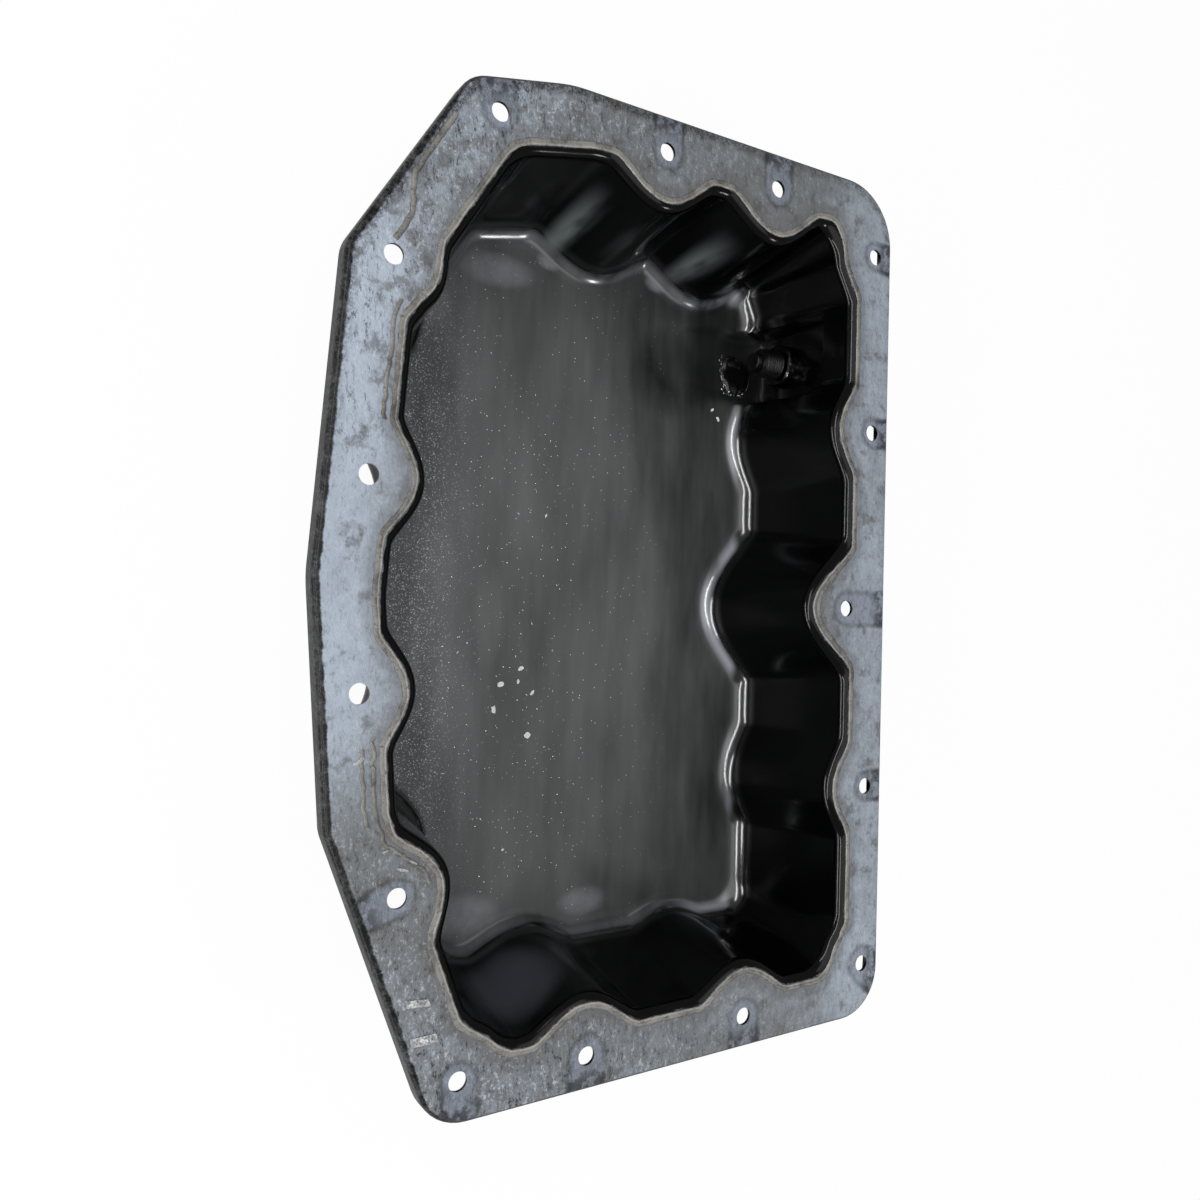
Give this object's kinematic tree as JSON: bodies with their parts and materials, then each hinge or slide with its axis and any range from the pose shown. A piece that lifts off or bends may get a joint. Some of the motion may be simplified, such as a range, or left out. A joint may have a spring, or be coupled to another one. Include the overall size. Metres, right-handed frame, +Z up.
{
  "type": "engine oil pan",
  "caption": "Shallow pressed-steel engine oil pan with a scalloped bowl, a flat bolted rim with a turned-down lip, and a side drain with a weld nut and hexagon screw plug.",
  "frame": {"origin": "centre of the rim's outer size, on the flat underside of the drain well that the pan rests on", "axes": "+Z up out of the bowl towards the engine, +Y along the pan towards the end with the drain, +X across towards the straight right side that carries the drain"},
  "size_m": [0.2758, 0.394, 0.0655],
  "materials": {
    "black_paint": "gloss black paint, oily, with grey sealant film on the rim",
    "nut_steel": "weld nut under the same dark paint, worn to steel at its edges",
    "washer_metal": "plain soft sealing ring",
    "plug_steel": "zinc-plated thread and head, oily"
  },
  "bodies": {
    "pan": {"pan_shell": "black_paint", "drain_nut": "nut_steel"},
    "washer": {"drain_washer": "washer_metal"},
    "plug": {"drain_plug": "plug_steel"}
  },
  "joints": [
    {"name": "plug_travel", "type": "slide", "parent": "pan", "child": "washer", "axis": [1, 0, 0], "range_m": [0, 0.0225]},
    {"name": "plug_turn", "type": "hinge", "parent": "washer", "child": "plug", "pos_m": [0.1145, 0.1175, 0.0195], "axis": [1, 0, 0], "range_deg": [0, 5280]}
  ],
  "couplings": [
    {"joint": "plug_travel", "follows": "plug_turn", "m_per_rad": 0.00023873}
  ]
}
